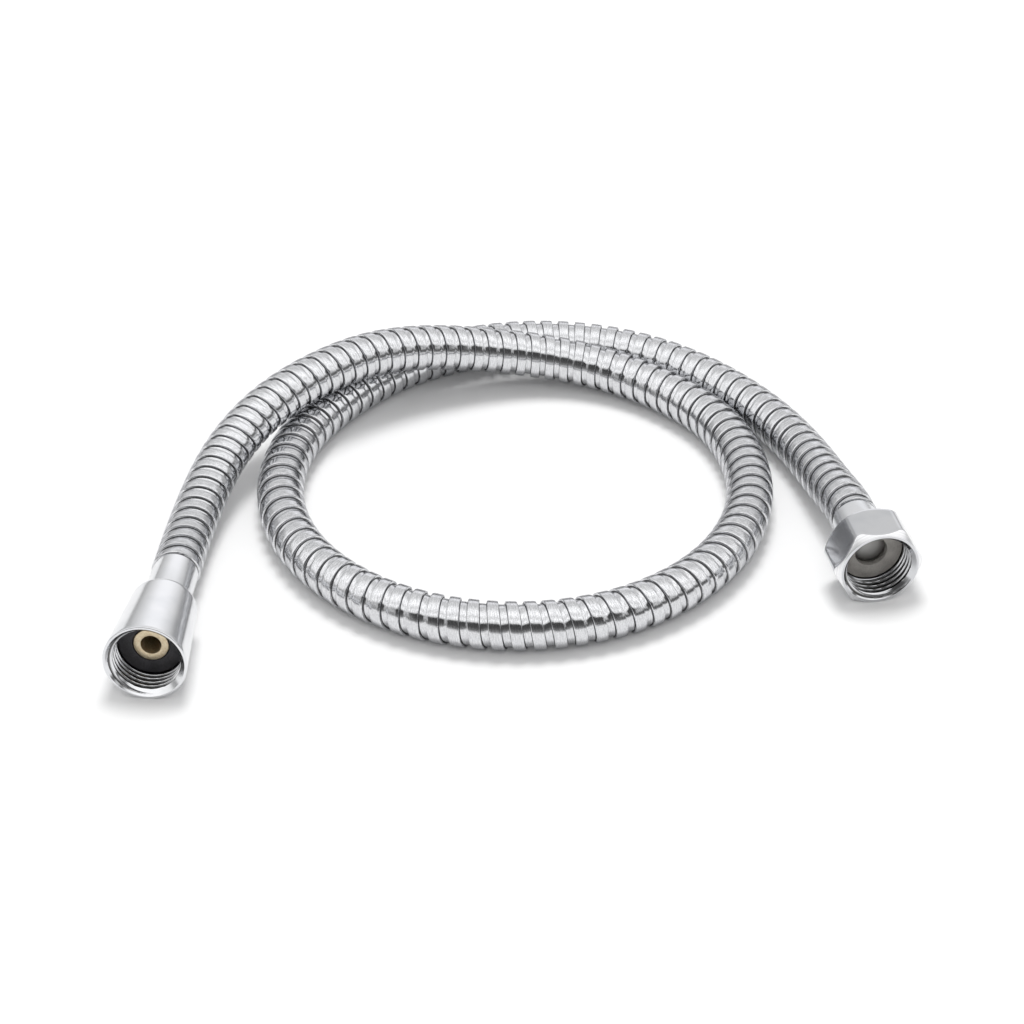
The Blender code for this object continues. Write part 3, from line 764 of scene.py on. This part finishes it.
# Grid angles of a twelfth of the nut: even over the corner's rounding, then wider and wider
# apart over the flat, where they start at so many times the rounding's half angle
HEX_CORNER_STEPS = 7
HEX_FLAT_STEPS = 11
HEX_FLAT_START = 1.3
HEX_FLAT_WIDENING = 1.3


def hexagon_radius(turn):
    """Distance from the axis to a hexagon with rounded corners, at an angle from a corner.

    On a flat it is the apothem over cos(angle from the flat's middle). Near a corner it is the
    far side of a small circle: c cos t + sqrt(r^2 - c^2 sin^2 t), where c is its centre's distance.
    """
    centre = (HEX_APOTHEM - HEX_CORNER_RADIUS) / math.cos(math.radians(30))
    touch_out = centre + HEX_CORNER_RADIUS * math.cos(math.radians(30))
    touch = math.atan2(HEX_CORNER_RADIUS * 0.5, touch_out)
    flat = HEX_APOTHEM / np.cos(math.radians(30) - np.abs(turn))
    inside = np.maximum(HEX_CORNER_RADIUS**2 - (centre * np.sin(turn))**2, 0.0)
    corner = centre * np.cos(turn) + np.sqrt(inside)
    return np.where(np.abs(turn) < touch, corner, flat), touch


def hex_nut_piece():
    """Bore, thread, chamfered face, six flats and rear face, as one closed grid.

    A chamfer meets a flat at the distance (hexagon radius - face radius) times the tangent of
    its angle, so the rows of the flats start there, and the crease follows each flat's arc.
    """
    touch = hexagon_radius(np.zeros(1))[1]
    on_corner = np.linspace(0.0, 1.0, HEX_CORNER_STEPS)
    on_flat = np.linspace(0.0, 1.0, HEX_FLAT_STEPS) ** HEX_FLAT_WIDENING
    on_flat = HEX_FLAT_START + on_flat * (math.radians(30) / touch - HEX_FLAT_START)
    half = np.concatenate([on_corner, on_flat]) * touch
    sector = np.concatenate([half, math.radians(60) - half[-2:0:-1]])
    angle = (sector + math.radians(60) * np.arange(6)[:, None]).reshape(-1)
    from_corner = np.mod(angle + math.radians(30), math.radians(60)) - math.radians(30)
    hexagon = hexagon_radius(from_corner)[0]
    crease = (hexagon - HEX_FACE_RADIUS) * math.tan(HEX_CHAMFER_ANGLE)
    thread_end = HEX_WASHER_AT - GAP
    inside = np.array([
        (NUT_REAR_BORE, HEX_LENGTH), (NUT_REAR_BORE, HEX_SHOULDER_INSIDE),
        (POCKET_RADIUS, HEX_SHOULDER_INSIDE), (POCKET_RADIUS, thread_end),
    ])
    thread_end -= POCKET_RADIUS - THREAD_CREST
    thread, thread_at = thread_rows(angle, thread_end, HEX_MOUTH_OPENING)
    soft = HEX_CREASE_ROUNDING
    edge = np.array([-1.0, -0.35, 0.35, 1.0])[:, None] * soft
    pull = np.array([0.0, 0.22, 0.22, 0.0])[:, None] * soft
    on_chamfer = HEX_FACE_RADIUS + (crease + np.minimum(edge, 0)) / math.tan(HEX_CHAMFER_ANGLE)
    first = np.where(edge < 0, on_chamfer, hexagon) - pull
    first_at = crease + edge
    flat = np.linspace(0.06, 0.94, 6)[:, None]
    flat_at = crease + soft * 2 + flat * (HEX_LENGTH - 2 * (crease + soft * 2))
    face = np.array([[HEX_FACE_RADIUS - soft, 0.0], [HEX_FACE_RADIUS, soft * 0.3]])
    radius = np.vstack([
        inside[:, :1] + 0 * angle, thread, face[:, :1] + 0 * angle, first,
        hexagon + 0 * flat_at, first[::-1], face[::-1, :1] + 0 * angle,
    ])
    distance = np.vstack([
        inside[:, 1:] + 0 * angle, thread_at + 0 * angle, face[:, 1:] + 0 * angle, first_at,
        flat_at, HEX_LENGTH - first_at[::-1], HEX_LENGTH - face[::-1, 1:] + 0 * angle,
    ])
    chrome = nut_chrome_material("hex_chrome", 0.08, 0.06, HEX_MOUTH, HEX_AXIS, bright=0.64,
                                 thread=(HEX_MOUTH_OPENING, thread_end),
                                 chamfer=(HEX_FACE_RADIUS, math.tan(HEX_CHAMFER_ANGLE)))
    return turned_piece("hexagonal_nut", HEX_MOUTH, HEX_AXIS, radius, distance,
                        angle + 0 * radius, chrome, 25)


hexagonal_nut = hex_nut_piece()
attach(hexagonal_nut, "hex_nut")
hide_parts("hex_nut")


# The strainer is a dished disc of fine wire cloth pressed into the insert's seat. It keeps grit
# out of the hand shower, and is domed towards the mouth.
STRAINER_RADIUS = 0.0046
STRAINER_BACK = 0.0116
STRAINER_THICKNESS = 0.0004
STRAINER_DOME = 0.0011
WIRE_PITCH = 0.0005
STRAINER_RINGS = 28
STRAINER_STEPS = 72


def gauze_material():
    """Woven steel wire: two sets of rounded wires that pass over and under each other."""
    material, tree = new_material("gauze_steel")
    place = add_node(tree, "ShaderNodeUVMap", {"uv_map": "surface"}, {})
    parts = add_node(tree, "ShaderNodeSeparateXYZ", {}, {"Vector": place})
    warp = (parts * (2 * math.pi)).apply("SINE")
    weft = (parts.other("Y") * (2 * math.pi)).apply("SINE")
    weave = (warp * weft) * 0.5 + 0.5
    finish_material(tree, {
        "Base Color": colour_between(tree, weave, (0.28, 0.28, 0.27), (0.60, 0.59, 0.58)),
        "Metallic": 0.9, "Roughness": weave * 0.1 + 0.36,
        "Normal": relief(tree, 0.9, 0.00006, weave)})
    return material


def strainer_piece():
    """A shallow dome: distance = back - thickness - dome (1 - (r / R)^2), and its other side."""
    share = np.linspace(0.0, 1.0, STRAINER_RINGS)
    front_at = STRAINER_BACK - STRAINER_THICKNESS - STRAINER_DOME * (1 - share**2)
    radius = np.concatenate([share, share[::-1]])[:, None] * STRAINER_RADIUS
    distance = np.concatenate([front_at, front_at[::-1] + STRAINER_THICKNESS])[:, None]
    angle = np.arange(STRAINER_STEPS) * (2 * np.pi / STRAINER_STEPS) + 0 * radius
    radius = radius + 0 * angle
    faces = grid_faces(*radius.shape)
    places = np.stack([radius * np.cos(angle), radius * np.sin(angle), distance + 0 * angle], -1)
    uv = (places.reshape(-1, 3)[:, :2] / WIRE_PITCH)[faces]
    points = on_axis(HEX_MOUTH, HEX_AXIS, places)
    return closed_piece("gauze_disc", points, faces, gauze_material(), uv, 40)


gauze_disc = strainer_piece()
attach(gauze_disc, "hose")
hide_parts("strainer_gauze")


# The hose lies on a plain pale floor in a white studio, under a broad soft lamp behind it and a
# weak one in front. A dark flag in front draws the dark line along the chrome, two low ones stand
# behind at the sides, and a bright panel low behind lightens the conical nut.
FLOOR_SIZE = 6.0
FLOOR_COLOUR = (0.90, 0.90, 0.90)
FLOOR_LIFT = 0.05
SKY_SHARE = 0.6
FLAG_REACH = 0.62
SIDE_FLAGS = (0.50, 0.90)
SIDE_FLAG_COLOUR = (0.08, 0.08, 0.08)
PANEL_ASIDE = 0.10
PANEL_COLOUR = (1.2, 1.2, 1.22)

# Name, place, size across in metres and power in watts
STUDIO_LAMPS = (
    ("back_lamp", (0.0, 0.40, 1.6), 0.6, 14.5),
    ("front_lamp", (0.0, -1.0, 1.1), 0.8, 2.6),
)

# Sky from the horizon in front, over the top, to the horizon behind: share of 180 degrees, grey.
# The wings are what lies beyond the flag's reach to both sides.
STUDIO_WINGS = ((0.0, 0.72), (0.27, 0.66), (0.33, 1.2), (0.72, 1.2), (0.78, 0.55), (1.0, 0.56))
STUDIO_SKY = ((0.0, 0.72), (0.02, 0.66), (0.045, 0.24), (0.09, 0.18), (0.12, 0.10), (0.245, 0.06),
              (0.270, 1.00), (0.33, 1.40), (0.40, 1.00), (0.50, 1.45), (0.60, 1.30), (0.68, 0.94),
              (0.78, 0.86), (0.84, 0.84), (0.955, 0.68), (0.975, 0.46), (1.0, 0.40))


def floor_piece():
    """A flat plane, a little lighter to the eye and to reflections than its own colour."""
    material, tree = new_material("floor")
    path = add_node(tree, "ShaderNodeLightPath", {}, {})
    seen = path.maths("MAXIMUM", path.other("Is Camera Ray"), path.other("Is Glossy Ray"))
    matt = add_node(tree, "ShaderNodeBsdfDiffuse", {}, {"Color": (*FLOOR_COLOUR, 1.0)})
    glow = add_node(tree, "ShaderNodeEmission", {}, {
        "Color": (1.0, 1.0, 1.0, 1.0), "Strength": seen * FLOOR_LIFT})
    both = add_node(tree, "ShaderNodeAddShader", {}, {0: matt, 1: glow})
    add_node(tree, "ShaderNodeOutputMaterial", {}, {"Surface": both})
    half = FLOOR_SIZE / 2
    corners = [(-half, -half, 0), (half, -half, 0), (half, half, 0), (-half, half, 0)]
    mesh = bpy.data.meshes.new("floor")
    mesh.from_pydata(corners, [], [(0, 1, 2, 3)])
    mesh.materials.append(material)
    floor = bpy.data.objects.new("floor", mesh)
    bpy.context.scene.collection.objects.link(floor)


def grey_ramp(tree, stops, share):
    """A grey that follows the stops, each a share and its brightness."""
    greys = [(at, (grey, grey, grey)) for at, grey in stops]
    return add_node(tree, "ShaderNodeValToRGB", {"stops": greys}, {"Fac": share})


def studio_world():
    """White to the camera, and to all else a sky that changes with the angle about the X axis."""
    world = bpy.data.worlds.new("studio")
    world.use_nodes = True
    tree = world.node_tree
    tree.nodes.clear()
    way = add_node(tree, "ShaderNodeTexCoord", {}, {})
    parts = add_node(tree, "ShaderNodeSeparateXYZ", {}, {"Vector": way})
    height = parts.other("Z")
    turn = height.maths("ARCTAN2", height, parts.other("Y") * -1.0) / math.pi
    sky = grey_ramp(tree, STUDIO_SKY, turn)
    wings = grey_ramp(tree, STUDIO_WINGS, turn)
    sideways = parts.apply("ABSOLUTE")
    around = colour_between(tree, sideways.step(FLAG_REACH, FLAG_REACH + 0.12), sky, wings)
    low = (height.step(0.02, 0.07) * height.step(0.20, 0.32, 1.0, 0.0)
           * sideways.step(0.55, 0.72) * parts.other("Y").step(0.10, 0.40, 1.0, 0.0))
    low = low * parts.step(-0.3, 0.3, *SIDE_FLAGS)
    around = colour_between(tree, low, around, SIDE_FLAG_COLOUR)
    panel = (turn.step(0.825, 0.86) * turn.step(0.93, 0.98, 1.0, 0.0)
             * (parts - PANEL_ASIDE).apply("ABSOLUTE").step(0.06, 0.50, 1.0, 0.0))
    around = colour_between(tree, panel, around, PANEL_COLOUR)
    path = add_node(tree, "ShaderNodeLightPath", {}, {})
    strength = path.other("Is Glossy Ray") * (1.0 - SKY_SHARE) + SKY_SHARE
    studio = add_node(tree, "ShaderNodeBackground", {}, {"Color": around, "Strength": strength})
    plain = add_node(tree, "ShaderNodeBackground", {}, {
        "Color": (1.0, 1.0, 1.0, 1.0), "Strength": 1.0})
    shown = add_node(tree, "ShaderNodeMixShader", {}, {"Fac": path, 1: studio, 2: plain})
    add_node(tree, "ShaderNodeOutputWorld", {}, {"Surface": shown})
    bpy.context.scene.world = world


def studio_lamp(name, place, size, power):
    """A square soft lamp that faces the middle of the floor and isn't mirrored in the chrome."""
    data = bpy.data.lights.new(name, "AREA")
    data.size = size
    data.energy = power
    lamp = bpy.data.objects.new(name, data)
    lamp.location = place
    lamp.rotation_euler = (math.atan2(-place[1], place[2]), 0.0, 0.0)
    lamp.visible_glossy = False
    bpy.context.scene.collection.objects.link(lamp)


floor_piece()
studio_world()
for name, place, size, power in STUDIO_LAMPS:
    studio_lamp(name, place, size, power)
bpy.context.scene.view_settings.view_transform = "Standard"
